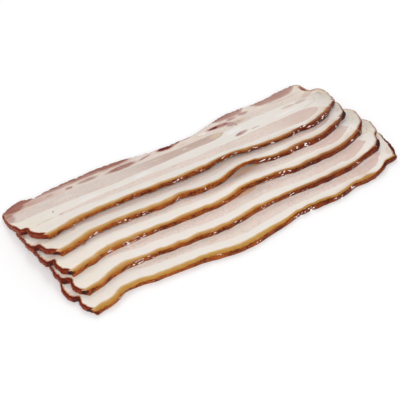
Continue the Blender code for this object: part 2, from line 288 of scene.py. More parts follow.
DUSKY_PATCHES = [
    (60.5, 46.5, 4.4, 4.4, 20, 1.1), (67, 46, 3, 2.4, 0, 0.6), (29, 43.5, 14, 3.4, 0, 0.5),
    (75, 44, 2.4, 1.4, 60, 0.45)]
# Bright fat, and painted highlights where the fat glints
BRIGHT_FAT_AND_GLINT_PATCHES = [
    (55, 35.4, 8, 2.4, 2, 1), (98, 28.6, 13, 1.9, 0, 0.9), (-24, 32.8, 9, 2, 3, 0.7),
    (87, 35, 1.4, 1.2, 0, 0.9), (-76, 46.5, 10, 2.4, -4, 0.5), (-90, 51.5, 5, 2.2, 0, 0.4),
    (17.5, 43.4, 3, 0.7, 6, 0.8), (38, 51, 5, 2, 0, 0.7), (-11.5, 58.2, 3.6, 1.4, 0, 0.7),
    (-66, 33.5, 12, 1.8, -4, 0.5), (-3, 50.8, 2.4, 0.8, 0, 0.6)]
YELLOW_PATCHES = [
    (43, 41.2, 6, 3.4, 0, 0.9), (35, 50.2, 4, 0.9, 0, 0.9), (-101, 32.8, 10, 3.2, 0, 0.3),
    (108.8, 45.2, 2.6, 1, 40, 0.8), (-100, 56.8, 2.8, 1.3, 0, 0.5), (143.5, 39, 3, 7, -10, 0.8),
    (-23.5, 19.4, 1.4, 0.6, 60, 0.7), (128, 16, 2.2, 1.4, 20, 0.6), (10, 51.2, 4, 1, 0, 0.7),
    (-30, 55, 1.6, 0.6, 60, 0.5), (100, 41, 12, 3, 10, 0.3)]
BROWN_PATCHES = [
    (148, 37.5, 1.7, 6, 18, 0.75), (140.5, 38.5, 1.1, 4.6, -8, 0.5), (138.6, 45.3, 2.4, 0.8, -20, 0.7),
    (-64, 60.6, 4, 0.8, 0, 0.5)]
PEPPER = [(-88.8, 36.3, 1.25, 0.6, 60, 1)]
# A patch is full up to the first share of its half sizes and gone at the second
PATCH_CORE = 0.45
PATCH_END = 1.3
# Fine lines in the fat: (x, y), full and gone at these shares of their width
FINE_LINES = [
    [(111, 24.6), (120, 26.6), (126.5, 29), (130, 32.6), (131.6, 36.5)],
    [(35, 23.8), (50, 23.4), (66, 23.1), (84, 22.9)], [(138.5, 34), (140.6, 38), (141, 43)],
    [(-112, 30.2), (-100, 30), (-92, 30.6)]]
LINE_WIDTH = 0.6
LINE_CORE = 0.4
LINE_END = 1.6

# Stains of the lower slices, and on the third and fourth the painted warm shade under the raised part of the
# slice above, in x and rise: (x, rise, half length, half width, turn, strength)
LOWER_YELLOW = {
    "rasher_2": [(136, 9, 2.2, 1.6, 45, 0.6)],
    "rasher_3": [(136, 17, 4, 1.2, 50, 0.7), (131, 8, 3, 1, 50, 0.5)],
    "rasher_4": [(137, 18, 1, 4.5, 10, 0.8), (139.5, 22, 0.9, 4, 5, 0.7)],
    "rasher_5": [(141, 12, 1.5, 5, 0, 0.4)],
}
# Peach stains, and on the third and fourth slice painted warm shade under the raised part of the slice above
LOWER_PEACH = {
    "rasher_2": [(133, 12, 6, 2, 45, 0.5)],
    "rasher_3": [(33, 14, 13, 2.8, 0, 0.5)],
    "rasher_4": [(24, 16, 11, 2, 0, 0.8)],
    "rasher_5": [(136, 8, 5, 3, 50, 0.5)],
}
# Painted warm shade under the raised part of the slice above, on the third and fourth slice
LOWER_WARM_SHADE = {"rasher_3": [(34, 15.4, 14, 2.8, 0, 0.9)], "rasher_4": [(24, 17, 12, 2.4, 0, 0.9)]}
# How much of the top slice's yellow and brown patches the lower slices have; on them the brown ones take the
# colour of the painted warm shade
YELLOW_BELOW = 0.5
BROWN_BELOW = 0.3

# How dark the crust of the rind is, 0 to 1: (x, darkness)
DARKNESS = {
    "rasher_1": [
        (-104, 0.1), (-88, 0.1), (-78, 0.35), (-40, 0.5), (10, 0.6), (24, 0.75), (60, 0.8), (95, 0.95),
        (130, 1)],
    "rasher_2": [
        (-104, 0.2), (-85, 0.25), (-50, 0.6), (-20, 0.4), (10, 0.45), (30, 0.5), (45, 0.75), (70, 0.85),
        (130, 1)],
    "rasher_3": [(-104, 0.2), (-88, 0.15), (-60, 0.5), (0, 0.4), (25, 0.4), (38, 0.7), (90, 0.9), (130, 1)],
    "rasher_4": [(-104, 0.2), (-88, 0.15), (-60, 0.4), (-20, 0.6), (20, 0.55), (60, 0.85), (130, 0.95)],
    "rasher_5": [
        (-104, 0.5), (-90, 0.25), (-50, 0.4), (-10, 0.5), (10, 0.5), (40, 0.6), (50, 0.8), (100, 0.8),
        (137, 0.95)],
}
# Where highlights are painted on the crust, with a glossy coat on the same specks: (x, half length, strength)
PAINTED_GLINTS = {
    "rasher_1": [
        (-80, 8, 0.5), (-58, 6, 0.5), (-44, 6, 0.8), (-12, 8, 0.5), (6, 5, 0.6), (30, 10, 1), (47, 14, 0.8),
        (62, 5, 1), (84, 10, 0.5), (96, 5, 0.8), (106, 5, 1), (114, 4, 0.8)],
    "rasher_2": [
        (-79, 4, 1), (-56, 12, 0.6), (-43, 4, 1), (-17, 4, 0.8), (-2, 4, 0.4), (52, 10, 0.8), (73, 4, 1),
        (84, 4, 1), (97, 4, 0.9), (115, 3, 0.8)],
    "rasher_3": [
        (-79, 6, 0.8), (-58, 9, 1), (-43, 3, 0.7), (6, 4, 0.4), (42, 5, 0.8), (55, 6, 1), (72, 6, 0.4),
        (115, 4, 0.4), (127, 2, 0.8)],
    "rasher_4": [
        (-62, 11, 1), (-12, 5, 0.8), (4, 4, 0.7), (29, 6, 0.9), (48, 4, 0.9), (61, 4, 0.5), (108, 9, 0.5)],
    "rasher_5": [
        (-84, 8, 0.4), (-66, 4, 0.6), (-21, 3, 0.6), (8, 3, 0.4), (49, 10, 0.9), (84, 12, 0.9),
        (113, 5, 0.4)],
}
# A stretch of painted highlights is full up to the first share of its half length and gone at the second
PAINTED_GLINT_CORE = 0.5
PAINTED_GLINT_END = 1.2
# Burnt spots and dark red ones, in x and rise as they show from the front left
# on the crust: (x, rise, half length, half width, turn, strength)
CHAR = {
    "rasher_1": [
        (-105.2, -0.6, 0.9, 2, 20, 1), (110, -1, 5, 1, 8, 0.6), (117, -0.6, 3, 0.9, 15, 0.6),
        (136, 9.5, 0.9, 1.6, -20, 0.7)],
    "rasher_2": [
        (-105.6, 1.6, 1.7, 1.6, 0, 1.2), (115, -1.6, 1.5, 1, -20, 0.7), (124.5, -1.6, 3.4, 1.2, 0, 0.9),
        (130.4, 2.2, 9, 2.4, 42, 0.85)],
    "rasher_3": [(-103.8, 1, 1.9, 1.8, 0, 1.3), (126.6, -0.6, 2.4, 1.2, 0, 0.75)],
    "rasher_4": [(-103, 1.8, 1.8, 1.8, 0, 1.3), (75.5, -2, 1.2, 1, 30, 0.7), (133, 4, 8, 2.4, 44, 0.85)],
    "rasher_5": [
        (-105.8, 2.4, 1.8, 1.8, 0, 1.3), (131, -1.8, 4, 0.9, -8, 0.55), (138.2, 3, 1.2, 2.5, -8, 0.6)],
}
SCORCH = {
    "rasher_1": [
        (-113.4, 15.2, 2.6, 3, -30, 1), (-115, 58, 1.4, 4, 0, 0.7), (131, 3.6, 5.6, 0.7, 42, 0.8),
        (128, 61, 5, 1.6, -20, 0.8)],
    "rasher_2": [
        (-111.4, 15.6, 2.4, 2.8, 0, 1), (137, 8.6, 5, 0.8, 45, 0.8), (-103.6, 0.6, 1.4, 1.4, 0, 0.7)],
    "rasher_3": [
        (-110.2, 15.2, 2.4, 2.8, 0, 1), (134, 6.4, 7, 0.9, 42, 0.9), (-101.6, 0.2, 1.2, 1.2, 0, 0.6)],
    "rasher_4": [
        (-108.6, 15.6, 2.4, 2.8, 0, 1), (128.6, -0.5, 3, 1.4, 0, 0.8), (-100.8, 1.2, 1.2, 1.4, 0, 0.7)],
    "rasher_5": [
        (-108, 13.8, 2.4, 2.8, 0, 1), (140.2, 7, 1.9, 7, -14, 1.2), (143.6, 18, 1.6, 6, -16, 1.1),
        (-103, -1, 2.4, 1.6, 0, 0.7)],
}
# How strongly the crust widens at the right corner, and how yellow the golden band is
CORNER_CRUST = {"rasher_1": 0.25, "rasher_2": 0.6, "rasher_3": 1.0, "rasher_4": 1.0, "rasher_5": 0.6}
GOLD_YELLOWING = {"rasher_1": 0.0, "rasher_2": 0.0, "rasher_3": 0.1, "rasher_4": 0.1, "rasher_5": 0.5}

# Noises of the meat: (stretch along the slice, size of the lumps, detail)
GRAINS = {
    "fibres": (0.16, 1.8, 4.0),
    "clouds": (0.5, 7.0, 3.0),
    "ragged": (0.5, 3.0, 3.0),
    "flecks": (0.8, 1.5, 2.0),
    "crumbs": (0.9, 1.1, 2.0),
    "lumps": (0.55, 4.0, 2.0),
    "sparks": (0.5, 1.2, 0.0),
}
# Metres by which the noises move from slice to slice, so that no two look the same
GRAIN_SHIFT = (0.31, 0.17)

# Light goes this deep into the meat, red furthest
GLOW_DEPTH = 1.7
GLOW_COLOURS = (1.0, 0.6, 0.45)
GLOW_SHARE = 0.6
# Gloss of the dry cut face and of wet spots, and the bumps of meat and crust
FACE_ROUGHNESS = 0.52
WET_ROUGHNESS = 0.15
SHINE = 0.1
BUMP_STRENGTH = 0.5
BUMP_HEIGHT = 0.4

# The studio: floor, room, and lamps as (place, size, watts)
FLOOR_SIZE = 6.0
FLOOR_PLACE = (0, 0, -0.0003)
FLOOR_COLOUR = (0.98, 0.98, 0.98, 1.0)
FLOOR_ROUGHNESS = 0.9
ROOM_COLOUR = (1.0, 1.0, 1.0, 1.0)
ROOM_STRENGTH = 0.56
LAMPS = {"front_light": ((-2.0, -3.4, 4.0), 3.6, 182.0), "back_light": ((0.9, 1.7, 2.2), 1.2, 14.0)}
# The camera: distance in millimetres, side on which it stands, sensor in millimetres, focal
# length in pixels of a frame this wide, and the nearest that it sees in metres
CAMERA_DISTANCE = 468.38
CAMERA_SIDE = Vector((-0.4076, -0.5778, 0.7071))
SENSOR = 36.0
FOCAL_PIXELS = 700.0
FRAME_PIXELS = 400.0
NEAREST_SEEN = 0.01


def srgb(red, green, blue):
    """A colour given as 0 to 255, as the linear colour that a shader takes."""
    parts = [c / 255 for c in (red, green, blue)]
    return tuple(c / 12.92 if c <= 0.04045 else ((c + 0.055) / 1.055) ** 2.4 for c in parts) + (1.0,)


# Fat and lean
FAT = srgb(232, 225, 217)
FAT_CREAM = srgb(234, 222, 204)
FAT_LIGHT = srgb(236, 229, 222)
LOBE_FAT = srgb(204, 192, 178)
# Bright fat, also used for the painted highlights on the fat
BRIGHT_FAT_AND_GLINT = srgb(238, 236, 232)
WARM_FAT = srgb(206, 184, 164)
YELLOW_FAT = srgb(214, 197, 168)
STREAK = srgb(227, 211, 201)
STREAK_DEEP = srgb(215, 191, 181)
BAND = srgb(219, 204, 195)
BAND_DEEP = srgb(200, 176, 164)
SEAM = srgb(222, 207, 197)
SEAM_PINK = srgb(194, 156, 142)
FAR_MEAT = srgb(192, 160, 150)
FAR_MEAT_DEEP = srgb(154, 106, 94)
FAR_MEAT_RIGHT = srgb(172, 134, 124)
FIBRE_PALE = srgb(238, 231, 224)
LEAN_SPECK = srgb(204, 170, 160)
# Stains, with the painted light under the slice above and the painted warm shade
MAUVE = srgb(152, 95, 82)
MAUVE_PALE = srgb(178, 132, 120)
DUSKY = srgb(178, 148, 141)
RED_LEAN = srgb(104, 32, 34)
PINK_LEAN = srgb(178, 118, 112)
PEACH = srgb(207, 180, 163)
BROWN_LINE = srgb(150, 104, 70)
LINE_COLOUR = srgb(210, 186, 150)
DRIED_LEAN = srgb(122, 70, 60)
# Painted light that lightens the shade under the slice above
PAINTED_FILL_LIGHT = srgb(250, 234, 226)
# Painted warm shade under the raised part of the slice above
WARM_SHADE = srgb(242, 192, 150)
PEPPER_BLACK = srgb(44, 36, 30)
# Smoked rind and dried ends
GOLD_PALE = srgb(214, 184, 142)
GOLD = srgb(190, 144, 84)
GOLD_BROWN = srgb(158, 96, 34)
GOLD_DARK_PALE = srgb(186, 142, 104)
GOLD_DARK = srgb(150, 90, 48)
GOLD_DARK_BROWN = srgb(122, 60, 28)
GOLD_YELLOW = srgb(190, 148, 66)
RIND_LIGHT = srgb(172, 93, 34)
RIND_DARK = srgb(100, 27, 12)
# Orange of the crust, partly its own colour, partly painted highlights
RIND_ORANGE_AND_HIGHLIGHT = srgb(190, 105, 38)
RIND_PIT = srgb(72, 18, 8)
END_CRUST = srgb(108, 32, 15)
# Lighter mottles of the end crust, partly its own colour, partly painted highlights
END_CRUST_LIGHT_AND_HIGHLIGHT = srgb(156, 66, 30)
END_BROWN = srgb(98, 42, 26)
END_TAN = srgb(172, 130, 100)
END_EDGE = srgb(182, 120, 78)
SCORCHED = srgb(86, 24, 14)
BURNT = srgb(50, 20, 16)
# Painted highlight on the crust
PAINTED_GLINT = srgb(250, 246, 242)

# Colours of the band inside the crust, from the crust to the fat, on light and on dark rind
GOLD_BANDS = [(0.0, GOLD_BROWN), (0.12, GOLD_BROWN), (0.4, GOLD), (0.72, GOLD_PALE), (1.0, FAT_CREAM)]
DARK_GOLD_BANDS = [(0.0, GOLD_DARK_BROWN), (0.2, GOLD_DARK_BROWN), (0.45, GOLD_DARK),
                   (0.75, GOLD_DARK_PALE), (1.0, FAT_CREAM)]


def curve(points, x, column=1):
    """Height at x of the line through the points, or another of their columns."""
    table = np.array(points, dtype=float)
    return np.interp(x, table[:, 0], table[:, column])


def smoothstep(low, high, value):
    """0 at low, 1 at high and smooth between."""
    share = np.clip((value - low) / (high - low), 0.0, 1.0)
    return share * share * (3.0 - 2.0 * share)


def fade(reach, away):
    """1 at no distance and 0 from the reach on."""
    return 1 - smoothstep(0, reach, away)


def rise_from(rind, x, y):
    """How far a place lies from the rind edge towards the far edge."""
    return y - np.interp(x, rind[:, 0], rind[:, 1])


def spline(points, count):
    """A smooth curve through the points, as count + 1 evenly spaced points."""
    padded = np.vstack([2 * points[0] - points[1], points, 2 * points[-1] - points[-2]])
    steps = np.linspace(0.0, 1.0, SPLINE_STEPS, endpoint=False)[:, None]
    fine = [0.5 * (2 * b + (c - a) * steps + (2 * a - 5 * b + 4 * c - d) * steps ** 2
                   + (3 * b - a - 3 * c + d) * steps ** 3)
            for a, b, c, d in zip(padded, padded[1:], padded[2:], padded[3:])]
    fine = np.vstack(fine + [points[-1:]])
    length = np.concatenate([[0.0], np.cumsum(np.linalg.norm(np.diff(fine[:, :2], axis=0), axis=1))])
    wanted = np.linspace(0.0, length[-1], count + 1)
    return np.column_stack([np.interp(wanted, length, fine[:, axis]) for axis in range(3)])


def cut_edge(source):
    """The upper edge of a solid slice as a ring of points in plan millimetres."""
    solid = bmesh.new()
    solid.from_mesh(source.data)
    bmesh.ops.remove_doubles(solid, verts=solid.verts, dist=WELD * MM)
    solid.normal_update()
    links = {}
    for edge in solid.edges:
        tilt = sorted(face.normal.z for face in edge.link_faces)
        if len(tilt) == 2 and tilt[1] > UPWARD_EDGE and tilt[0] < UPWARD_EDGE:
            a, b = edge.verts
            links.setdefault(a.index, []).append(b.index)
            links.setdefault(b.index, []).append(a.index)
    solid.verts.ensure_lookup_table()
    start = next(iter(links))
    ring = [start]
    before = None
    while True:
        step = [v for v in links[ring[-1]] if v != before and (v not in ring or v == start)]
        if not step or step[0] == start:
            break
        before = ring[-1]
        ring.append(step[0])
    points = np.array([solid.verts[i].co for i in ring]) / MM
    solid.free()
    points[:, :2] -= PLAN_ZERO
    area = np.sum(points[:, 0] * np.roll(points[:, 1], -1) - np.roll(points[:, 0], -1) * points[:, 1])
    return points if area > 0 else points[::-1]


def four_edges(ring, corners):
    """Rind, far edge, left end and right end of the ring, all running left to right or rind to far."""
    at = [int(np.argmin(np.hypot(*(ring[:, :2] - corner).T))) for corner in corners]

    def part(a, b):
        count = (b - a) % len(ring)
        return ring[[(a + n) % len(ring) for n in range(count + 1)]]

    rind, right, far, left = (part(at[n], at[(n + 1) % 4]) for n in range(4))
    return rind, far[::-1], left[::-1], right


def lump_noise(x, y, size, seed):
    """Smooth noise from sine waves in random directions, about -1 to 1."""
    rng = np.random.default_rng(seed)
    total = np.zeros_like(x)
    for _ in range(NOISE_WAVES):
        angle = rng.uniform(0, 2 * math.pi)
        rate = 2 * math.pi / (size * rng.uniform(0.6, 1.7))
        total += np.sin(rate * (x * math.cos(angle) + y * math.sin(angle)) + rng.uniform(0, 7))
    return total / (NOISE_WAVES / 2)


def patch_field(x, y, patches):
    """The strongest of the patches at each place, soft towards their outlines."""
    field = np.zeros_like(x)
    for cx, cy, half_length, half_width, turn, strength in patches:
        c = math.cos(math.radians(turn))
        s = math.sin(math.radians(turn))
        u = ((x - cx) * c + (y - cy) * s) / half_length
        v = (-(x - cx) * s + (y - cy) * c) / half_width
        field = np.maximum(field, strength * (1 - smoothstep(PATCH_CORE, PATCH_END, np.hypot(u, v))))
    return field


def line_field(x, y, lines, width):
    """1 on the lines and 0 away from them."""
    field = np.zeros_like(x)
    for line in lines:
        for (ax, ay), (bx, by) in zip(line, line[1:]):
            dx, dy = bx - ax, by - ay
            share = np.clip(((x - ax) * dx + (y - ay) * dy) / (dx * dx + dy * dy), 0, 1)
            away = np.hypot(x - ax - share * dx, y - ay - share * dy)
            field = np.maximum(field, 1 - smoothstep(LINE_CORE * width, LINE_END * width, away))
    return field


def four_smooth_edges(name):
    """The four edges of a slice as smooth curves, with the rows crowded towards the rind."""
    rind, far, left, right = four_edges(cut_edge(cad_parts[name]), CORNERS[name])
    even = np.linspace(0, 1, FINE_ROWS + 1)
    ends = []
    for end in (left, right):
        end = spline(end, FINE_ROWS)
        ends.append(np.column_stack([np.interp(ROWS, even, end[:, axis]) for axis in range(3)]))
    return spline(rind, FINE_COLUMNS), spline(far, FINE_COLUMNS), ends[0], ends[1]


def fill_plan(rind, far, left, right):
    """Points between the four edges, blended from all of them and then evened."""
    s = np.linspace(0.0, 1.0, FINE_COLUMNS + 1)[:, None, None]
    r = ROWS[None, :, None]
    corners = ((1 - s) * (1 - r) * rind[0] + s * (1 - r) * rind[-1]
               + (1 - s) * r * far[0] + s * r * far[-1])
    plan = ((1 - r) * rind[:, None, :] + r * far[:, None, :]
            + (1 - s) * left[None, :, :] + s * right[None, :, :] - corners)
    for _ in range(EVENING_ROUNDS):
        plan[1:-1, 1:-1] = (plan[:-2, 1:-1] + plan[2:, 1:-1] + plan[1:-1, :-2] + plan[1:-1, 2:]) / 4
    return plan


def soften(field, rounds, axis):
    """Evens out a field along one axis and keeps its two ends."""
    field = np.moveaxis(field, axis, 0)
    for _ in range(rounds):
        field = np.concatenate([field[:1], (field[:-2] + 2 * field[1:-1] + field[2:]) / 4, field[-1:]])
    return np.moveaxis(field, 0, axis)


def lie_of(name, plan):
    """Heights of the slice's upper side at the plan points, read from the solid and evened out."""
    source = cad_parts[name].data
    tree = BVHTree.FromPolygons([v.co for v in source.vertices], [tuple(p.vertices) for p in source.polygons])
    height = plan[:, :, 2].copy()
    for i in range(1, plan.shape[0] - 1):
        for j in range(1, plan.shape[1] - 1):
            x, y = (plan[i, j, :2] + PLAN_ZERO) * MM
            place, normal, _, _ = tree.ray_cast(Vector((x, y, ABOVE_ALL * MM)), Vector((0, 0, -1)))
            if place is not None and normal.z > UPWARD_FACE:
                height[i, j] = place.z / MM
    return soften(soften(height, SOFTENING_ALONG, 0), SOFTENING_ACROSS, 1)


def rim_places():
    """Grid places along the edge of a slice: rind, right end, far edge, left end."""
    c, r = FINE_COLUMNS, FINE_ROWS
    places = ([(i, 0) for i in range(c)] + [(c, j) for j in range(r)]
              + [(i, r) for i in range(c, 0, -1)] + [(0, j) for j in range(r, 0, -1)])
    return tuple(np.array(places).T)


def side_shares():
    """How much each rim point belongs to the rind, right, far and left side, softly at the corners."""
    label = np.repeat([RIND, RIGHT_END, FAR_EDGE, LEFT_END], [FINE_COLUMNS, FINE_ROWS] * 2)
    shares = np.eye(4)[label]
    for _ in range(SIDE_BLEND):
        shares = (np.roll(shares, 1, axis=0) + 2 * shares + np.roll(shares, -1, axis=0)) / 4
    return shares


def outward_of(loop):
    """Unit vectors that point out of the slice at each rim point."""
    ahead = np.roll(loop, -NEIGHBOURS, axis=0) - np.roll(loop, NEIGHBOURS, axis=0)
    ahead /= np.linalg.norm(ahead, axis=1)[:, None]
    return np.column_stack([ahead[:, 1], -ahead[:, 0]])


def nearest_rim(x, y, rim, shares):
    """Distance of each point to the rim, and the side and outward direction of the nearest rim point."""
    loop = np.column_stack([x[rim], y[rim]])
    tree = KDTree(len(loop))
    for n, (px, py) in enumerate(loop):
        tree.insert((px, py, 0), n)
    tree.balance()
    found = [tree.find((px, py, 0)) for px, py in zip(x.ravel(), y.ravel())]
    nearest = [n for _, n, _ in found]
    inset = np.array([away for _, _, away in found]).reshape(x.shape)
    return inset, shares[nearest].reshape(x.shape + (4,)), outward_of(loop)[nearest].reshape(x.shape + (2,))


def settle(name, x):
    """How far the rind edge really lies inwards of the plain line, a part of its crust's rise."""
    return np.clip(0.5 * (curve(RIM[name], x, 2) - SETTLE_FROM), -SETTLE_MOST, SETTLE_MOST)


def craggy_plan(name, seed, x, y, rise, inset, side, outward):
    """The plan with small crags along the ends and the far edge, and with the crust's swellings."""
    swell = np.zeros(x.shape)
    for place_x, place_rise, reach, amount in SWELLINGS[name]:
        away = np.hypot(x - place_x, rise - place_rise) / reach
        swell = np.maximum(swell, amount * (1 - smoothstep(SWELL_CORE, 1, away)) * fade(SWELL_REACH, inset))
    crag = -END_CRAGS * np.abs(lump_noise(x, y, CRAG_LUMPS, seed + CRAG_SEED)) * (1 - side[:, :, RIND])
    crag *= 1 + MORE_CRAGS_AT_FAR_EDGE * side[:, :, FAR_EDGE]
    crag *= fade(CRAG_REACH, inset)
    at_ends = side[:, :, RIGHT_END] + side[:, :, LEFT_END]
    craggy_x = x + np.sign(x) * crag * at_ends + swell * outward[:, :, 0]
    return craggy_x, y + crag * side[:, :, FAR_EDGE] + swell * outward[:, :, 1]


def both_faces(name, seed, x, y, height, inset, side):
    """Heights of the upper and the lower side, with relief, rounded edges and the sag in front."""
    relief = FACE_RELIEF * lump_noise(x * FACE_STRETCH, y, FACE_LUMPS, seed + FACE_SEED)
    relief = relief * smoothstep(0, FACE_REACH, inset)
    rim_lumps = RIM_RELIEF * (lump_noise(x, y, RIM_LUMPS, seed + RIM_SEED) - RIM_LOWERING)
    rim_lumps = rim_lumps * fade(RIM_REACH, inset)
    rounding = EDGE_ROUNDING * np.exp(-(inset / EDGE_ROUNDING) ** EDGE_CURVE)
    upper = height + relief + rim_lumps * side[:, :, RIND] - rounding
    sag = curve(SAG[name], x) * fade(SAG_REACH, inset) * (side[:, :, RIND] + side[:, :, LEFT_END])
    lower = np.maximum(height - THICKNESS - sag + 0.5 * relief + 0.5 * rounding, 0.0)
    return upper, lower


def drawn_in(name, rim_x, depth, share, rind_share):
    """How far the rind's wall is drawn in at a depth, below its crust and less where its foot stands out."""
    below_crust = np.maximum(depth - curve(CRUST_FOOT[name], rim_x), 0)
    flare = curve(FLARE.get(name, [(0, 0)]), rim_x)
    return (TUCK * below_crust - flare * share) * rind_share


def wall_rings(name, seed, loop, top, bottom, rind_share):
    """Rings of points down the wall, bulged and lumpy, and how deep each point lies."""
    outward = outward_of(loop)
    run = np.arange(len(loop)) * RIM_STEP
    rings = []
    depths = []
    for share in np.linspace(0, 1, WALL_ROWS + 1)[1:-1]:
        belly = math.sin(math.pi * share)
        depth = (top - bottom) * share
        lumps = WALL_RELIEF * lump_noise(run, np.full(len(run), share * WALL_DRIFT), WALL_LUMPS, seed) * belly
        tuck = drawn_in(name, loop[:, 0], depth, share, rind_share)
        swell = WALL_BULGE * belly ** WALL_FULLNESS + lumps - tuck
        rings.append(np.column_stack([loop + outward * swell[:, None], top * (1 - share) + bottom * share]))
        depths.append(depth)
    return rings, depths


def closed_faces(shape, rim, ring_count):
    """Four-cornered faces of the upper side, the lower side and the wall, all facing outwards."""
    grid = shape[0] * shape[1]
    index = np.arange(grid).reshape(shape)
    a, b, c, d = index[:-1, :-1], index[1:, :-1], index[1:, 1:], index[:-1, 1:]
    edge = index[rim]
    rings = [2 * grid + k * len(edge) + np.arange(len(edge)) for k in range(ring_count)]
    order = [edge] + rings + [edge + grid]
    faces = [np.dstack([a, b, c, d]).reshape(-1, 4), np.dstack([a, d, c, b]).reshape(-1, 4) + grid]
    faces += [np.column_stack([low, np.roll(low, -1), np.roll(high, -1), high])
              for high, low in zip(order, order[1:])]
    return np.vstack(faces)


def build_shape(name, seed):
    """Points, faces and rim data of one slice as a fine closed mesh in plan millimetres."""
    edges = four_smooth_edges(name)
    plan = fill_plan(*edges)
    height = lie_of(name, plan)
    rim = rim_places()
    shares = side_shares()
    x, y = plan[:, :, 0], plan[:, :, 1]
    rise = rise_from(edges[0], x, y)
    y = y + settle(name, x) * fade(SETTLE_REACH, rise)
    inset, side, outward = nearest_rim(x, y, rim, shares)
    x, y = craggy_plan(name, seed, x, y, rise, inset, side, outward)
    upper, lower = both_faces(name, seed, x, y, height, inset, side)

    # The lower side follows the foot of the wall inwards
    loop = np.column_stack([x[rim], y[rim]])
    foot = drawn_in(name, loop[:, 0], (upper - lower)[rim], 1.0, shares[:, RIND])
    under = np.interp(x, loop[:FINE_COLUMNS, 0], foot[:FINE_COLUMNS])
    under = under * side[:, :, RIND] * fade(TUCK_REACH, inset)
    under_side = np.dstack([x - outward[:, :, 0] * under, y - outward[:, :, 1] * under, lower])
    rings, depths = wall_rings(name, seed, loop, upper[rim], lower[rim], shares[:, RIND])

    points = np.vstack([np.dstack([x, y, upper]).reshape(-1, 3), under_side.reshape(-1, 3)] + rings)
    depth = np.concatenate([np.zeros(2 * x.size)] + depths)
    inset = np.concatenate([inset.ravel(), inset.ravel(), np.zeros(len(points) - 2 * x.size)])
    side = np.vstack([side.reshape(-1, 4)] * 2 + [shares] * len(rings))
    return points, closed_faces(x.shape, rim, len(rings)), edges[0], depth, inset, side


def inside(y, low, high):
    """How far a place lies inside a layer: 0.5 on its border, 1 from half the softness inwards."""
    return np.clip(np.minimum(y - low, high - y) / BORDER_SOFTNESS + 0.5, 0, 1)


def layer_shares(name, x, rise, top_rind):
    """Shares of streak, band, seam and far lean at each point, and its place in the top slice's plan."""
    like_x = x - STREAK_SHIFT[name] * smoothstep(SHIFT_FROM, SHIFT_TO, x)
    like_rind = np.interp(like_x, top_rind[:, 0], top_rind[:, 1])
    like_y = rise + like_rind
    low = curve(STREAK_LOW, like_x)
    top = curve(STREAK_TOP, like_x)
    if name in NEAR_STREAK:
        tip = NEAR_STREAK[name][-1][0]
        low = like_rind + curve(NEAR_STREAK[name], x)
        roundness = np.sqrt(1 - (1 - np.clip((tip - x) / TIP_ROUNDING, 0, 1)) ** 2)
        half = np.maximum(top - low, TIP_WIDTH) / 2
        middle = low + half
        low, top = middle - half * roundness, middle + half * roundness
    band_low = curve(BAND_LOW, like_x)
    band_top = curve(BAND_TOP, like_x)
    far_lean = curve(FAR_LEAN, like_x)
    shares = (inside(like_y, low, top), inside(like_y, band_low, band_top),
              inside(like_y, band_top, far_lean), inside(like_y, far_lean, like_y + FAR_LEAN_WIDTH))
    return shares, like_y - far_lean, like_x, like_y


def painted_fill_under_upper(x, rise, rind, upper_rind):
    """Painted light under the slice above: 1 where it lies on this one, fading out in front of its edge and
    at its ends.
    """
    if upper_rind is None:
        return np.zeros(len(x))
    line = rise_from(rind, x, np.interp(x, upper_rind[:, 0], upper_rind[:, 1]))
    start, end = upper_rind[0, 0], upper_rind[-1, 0]
    shade = smoothstep(-PAINTED_FILL_REACH, PAINTED_FILL_BEHIND, rise - line)
    return shade * smoothstep(start, start + PAINTED_FILL_ENDS, x) * (1 - smoothstep(end - PAINTED_FILL_ENDS, end, x))


def into_frame(points):
    """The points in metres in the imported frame, kept within the box of the solids."""
    low_corner, high_corner = (np.array(list(corner)) / MM for corner in cad_box)
    moved = points.copy()
    moved[:, :2] += PLAN_ZERO
    moved = np.clip(moved, low_corner + BOX_MARGIN, high_corner - BOX_MARGIN)
    moved[:, 2] = np.where(points[:, 2] <= 0.0, 0.0, moved[:, 2])
    return moved * MM


def new_piece(name, points, faces):
    """A piece of the scene from points and faces, at the origin and unturned."""
    mesh = bpy.data.meshes.new("dressed_" + name)
    mesh.from_pydata(into_frame(points).tolist(), [], faces.tolist())
    mesh.shade_smooth()
    piece = bpy.data.objects.new("dressed_" + name, mesh)
    bpy.context.scene.collection.objects.link(piece)
    return piece


def paint(mesh, name, *columns):
    """Stores four numbers at each point of a mesh."""
    layer = mesh.attributes.new(name, "FLOAT_COLOR", "POINT")
    layer.data.foreach_set("color", np.column_stack(columns).astype(np.float32).ravel())


def paint_stains_and_painted_light(mesh, name, x, rise, like_x, like_y):
    """Stores the stains and painted highlights of the belly piece, and the stains and painted warm shade that
    a lower slice has of its own.
    """
    yellow = patch_field(like_x, like_y, YELLOW_PATCHES)
    peach_and_warm_shade = patch_field(like_x, like_y, PEACH_PATCHES)
    brown_and_warm_shade = patch_field(like_x, like_y, BROWN_PATCHES)
    if name != TOP_SLICE:
        yellow = np.maximum(yellow * YELLOW_BELOW, patch_field(x, rise, LOWER_YELLOW[name]))
        peach_and_warm_shade = np.maximum(peach_and_warm_shade, patch_field(x, rise, LOWER_PEACH[name]))
        brown_and_warm_shade = np.maximum(brown_and_warm_shade * BROWN_BELOW, patch_field(x, rise, LOWER_WARM_SHADE.get(name, [])))
    mauve, red, white_fat_and_glints, dusky = (patch_field(like_x, like_y, patches) for patches in
                                (MAUVE_PATCHES, RED_PATCHES, BRIGHT_FAT_AND_GLINT_PATCHES, DUSKY_PATCHES))
    paint(mesh, "stains", mauve, red, peach_and_warm_shade, line_field(like_x, like_y, FINE_LINES, LINE_WIDTH))
    paint(mesh, "tints", white_fat_and_glints, yellow, dusky, brown_and_warm_shade)


